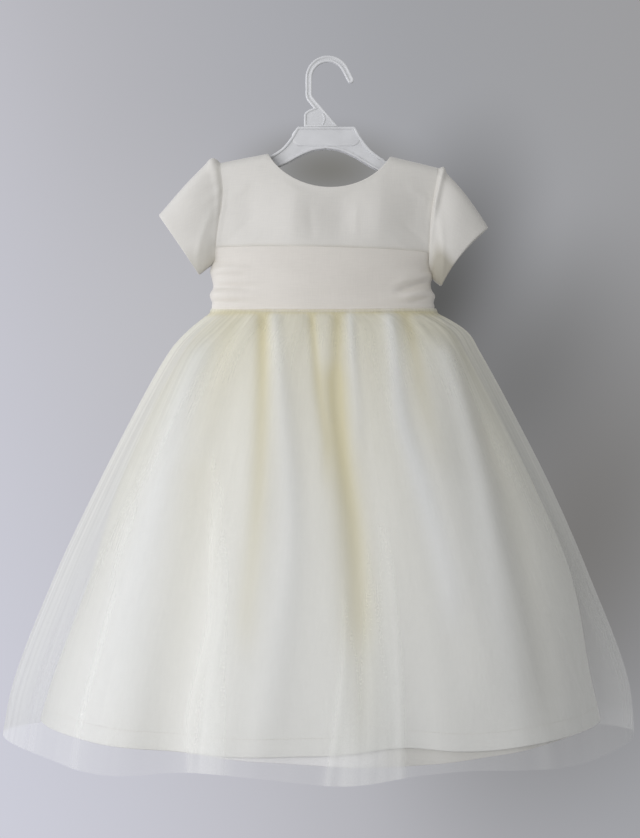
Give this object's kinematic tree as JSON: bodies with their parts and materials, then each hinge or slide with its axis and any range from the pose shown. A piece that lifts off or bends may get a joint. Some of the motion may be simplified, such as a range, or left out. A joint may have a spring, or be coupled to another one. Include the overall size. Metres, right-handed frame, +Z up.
{
  "type": "flower girl dress on a child's hanger",
  "caption": "Short-sleeved ivory satin dress with a scooped neck, a wide sash and a gathered tulle skirt over satin, hanging on a moulded plastic child's hanger.",
  "frame": {"origin": "inside top of the hanger's hook, where a rail, a nail or a wall hook holds it", "axes": "+Z up; -Y is the front of the dress; +X is to the right as seen from the front"},
  "size_m": [0.6672, 0.3106, 0.7197],
  "materials": {
    "ivory_satin": "matte-faced satin, fine diagonal weave",
    "sash_satin": "heavier satin with a soft sheen",
    "skirt_satin": "smooth satin under tulle",
    "lining": "plain white taffeta",
    "tulle": "fine see-through net",
    "covered_button": "satin-covered",
    "hanger_plastic": "moulded, slightly glossy white"
  },
  "bodies": {
    "root": {"bodice_front": "ivory_satin", "bodice_back_left": "ivory_satin", "bodice_back_right": "ivory_satin", "bodice_placket": "ivory_satin", "sleeve_left": "ivory_satin", "sleeve_right": "ivory_satin", "sash_front": "sash_satin", "sash_back_left": "sash_satin", "sash_back_right": "sash_satin", "sash_placket": "sash_satin", "underskirt_front": "skirt_satin", "underskirt_back_left": "skirt_satin", "underskirt_back_right": "skirt_satin", "lining_front": "lining", "tulle_front": "tulle", "tulle_back": "tulle", "hanger_body": "hanger_plastic", "hanger_hook": "hanger_plastic", "bodice_button_1": "covered_button", "bodice_button_2": "covered_button", "bodice_button_3": "covered_button", "sash_button_1": "covered_button", "sash_button_2": "covered_button", "sash_button_3": "covered_button"}
  },
  "joints": []
}
